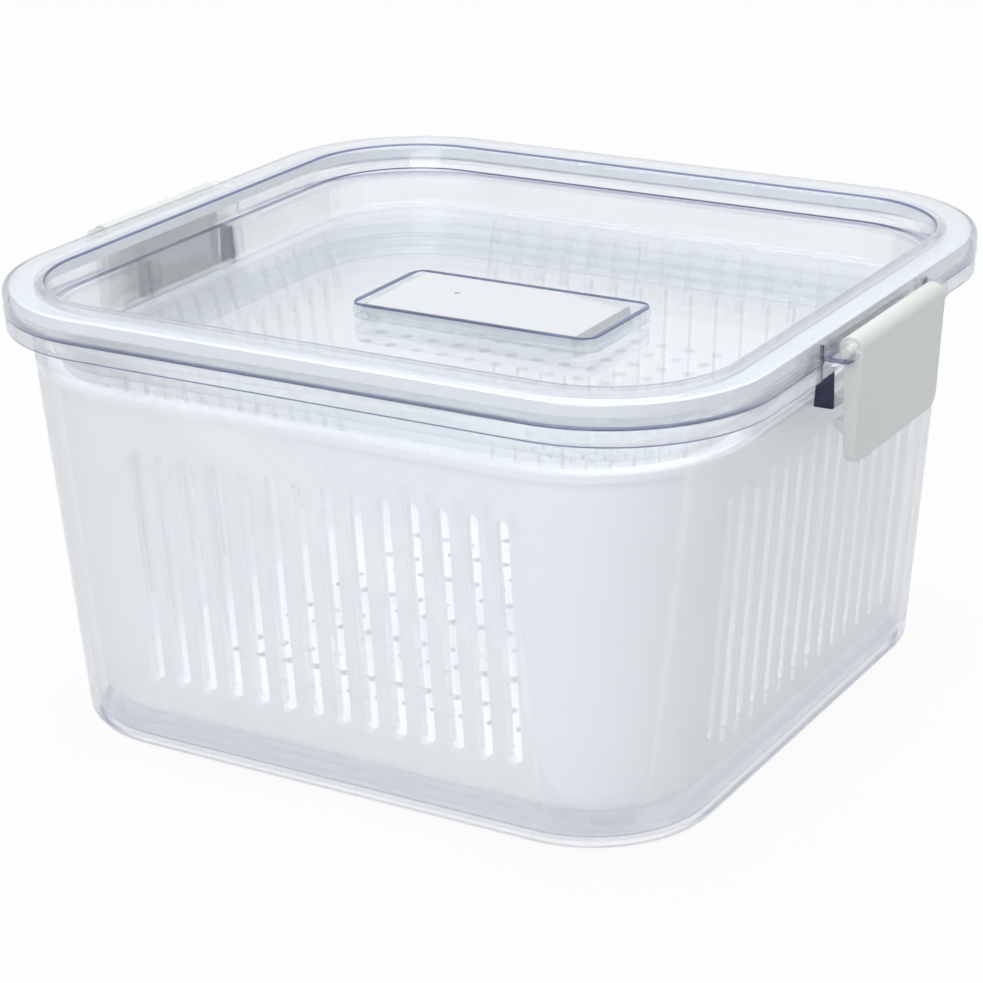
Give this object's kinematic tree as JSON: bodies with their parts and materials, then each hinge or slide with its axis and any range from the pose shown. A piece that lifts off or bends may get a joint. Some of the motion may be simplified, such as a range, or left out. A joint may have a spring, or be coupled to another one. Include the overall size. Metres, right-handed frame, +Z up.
{
  "type": "produce keeper",
  "caption": "Square clear food keeper with a slotted white colander basket, a clear sunk-panel lid with a seal and a flap vent, and a snap latch on each side.",
  "frame": {"origin": "middle of the box's base, on the surface it stands on", "axes": "+Z up, +X to the right-hand latch, the other latch at -X, and the vent flap's finger end towards +X"},
  "size_m": [0.214, 0.189, 0.1123],
  "materials": {
    "clear_box": "clear moulded plastic, polished",
    "white_basket": "white moulded plastic, satin",
    "clear_lid": "clear moulded plastic, polished",
    "seal": "milky silicone",
    "latch": "white moulded plastic, satin",
    "flap": "white moulded plastic, gloss",
    "plug": "silicone"
  },
  "bodies": {
    "box": {"outer_box": "clear_box", "colander_basket": "white_basket"},
    "lid": {"lid": "clear_lid", "lid_seal": "seal"},
    "right_latch": {"right_latch": "latch"},
    "left_latch": {"left_latch": "latch"},
    "vent_flap": {"vent_flap": "flap", "vent_plug": "plug"}
  },
  "joints": [
    {"name": "lid_lift", "type": "slide", "parent": "box", "child": "lid", "axis": [0, 0, 1], "range_m": [0, 0.08]},
    {"name": "right_latch_hinge", "type": "hinge", "parent": "lid", "child": "right_latch", "pos_m": [0.104, 0, 0.108], "axis": [0, -1, 0], "range_deg": [0, 135]},
    {"name": "left_latch_hinge", "type": "hinge", "parent": "lid", "child": "left_latch", "pos_m": [-0.104, 0, 0.108], "axis": [0, 1, 0], "range_deg": [0, 135]},
    {"name": "vent_flap_hinge", "type": "hinge", "parent": "lid", "child": "vent_flap", "pos_m": [-0.0298, 0, 0.095], "axis": [0, -1, 0], "range_deg": [0, 80]}
  ]
}
